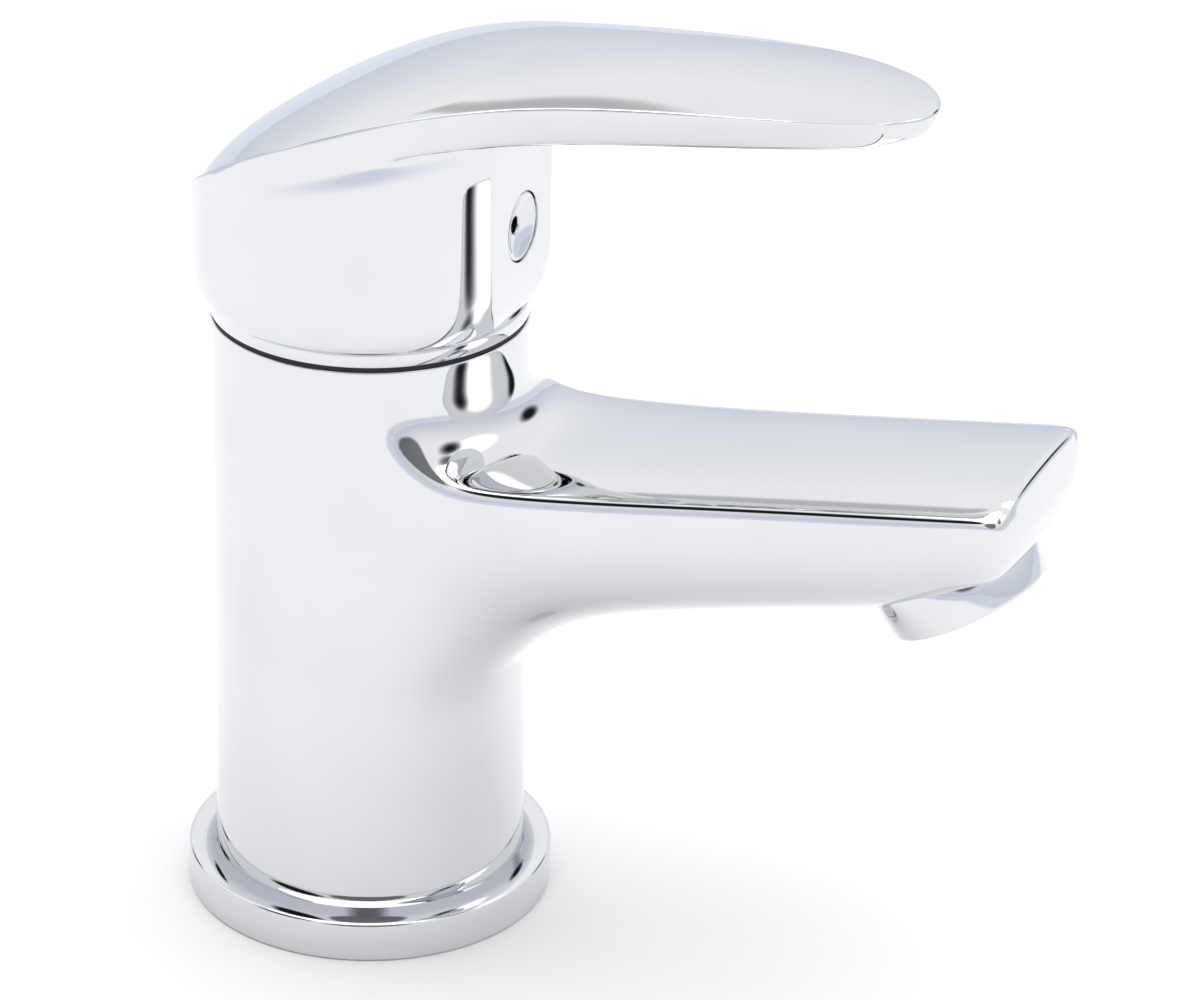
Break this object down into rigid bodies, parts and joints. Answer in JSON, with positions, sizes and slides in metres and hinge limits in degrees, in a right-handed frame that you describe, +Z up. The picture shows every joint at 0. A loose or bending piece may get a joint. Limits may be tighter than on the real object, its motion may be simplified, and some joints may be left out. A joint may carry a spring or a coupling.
{
  "type": "basin mixer faucet",
  "caption": "Single-lever basin mixer with a fixed forward spout, a paddle lever that lifts and turns, a ceramic-disc cartridge and a screw-in aerator.",
  "frame": {"origin": "centre of the base, on the surface that the mixer stands on, on the column's axis", "axes": "+Z up along the column, +X the way the spout points, +Y to its left seen from above"},
  "size_m": [0.1327, 0.0552, 0.1407],
  "materials": {
    "chromed_brass": "mirror chrome plate on brass",
    "chromed_zinc": "mirror chrome plate on zinc alloy",
    "chromed_plastic": "mirror chrome plate on ABS",
    "brass": "machined",
    "steel": "satin",
    "dark_steel": "black oxide",
    "rubber": "moulded EPDM",
    "ceramic": "lapped alumina",
    "white_plastic": "moulded acetal",
    "blue_plastic": "moulded acetal",
    "red_plastic": "moulded acetal"
  },
  "bodies": {
    "body": {"body": "chromed_brass", "base_ring": "chromed_brass", "base_seal": "rubber", "inlet_block": "brass", "block_seal": "rubber", "risers": "brass", "trim_ring": "chromed_brass", "trim_seal": "rubber", "cartridge_nut": "brass", "cartridge_housing": "white_plastic", "cartridge_base": "white_plastic", "port_seals": "rubber", "disc_seal": "rubber", "fixed_disc": "ceramic", "glide_ring": "white_plastic", "hot_limit_ring": "red_plastic", "aerator_housing": "chromed_brass", "aerator_gasket": "rubber", "aerator_screen": "steel", "aerator_insert": "white_plastic", "aerator_outlet_grid": "white_plastic"},
    "turntable": {"carrier": "blue_plastic", "stem_pin": "steel"},
    "lever": {"handle": "chromed_zinc", "stem": "brass", "grub_screw": "dark_steel", "index_plug": "chromed_plastic"},
    "disc": {"moving_disc": "ceramic", "disc_driver": "blue_plastic", "driver_seal": "rubber"}
  },
  "joints": [
    {"name": "lever_turn", "type": "hinge", "parent": "body", "child": "turntable", "pos_m": [0, 0, 0.084], "axis": [0, 0, 1], "range_deg": [-45, 45]},
    {"name": "lever_lift", "type": "hinge", "parent": "turntable", "child": "lever", "pos_m": [0, 0, 0.084], "axis": [0, -1, 0], "range_deg": [0, 25]},
    {"name": "disc_slide", "type": "slide", "parent": "turntable", "child": "disc", "axis": [1, 0, 0], "range_m": [0, 0.0034]}
  ],
  "couplings": [
    {"joint": "disc_slide", "follows": "lever_lift", "m_per_rad": 0.00763}
  ]
}
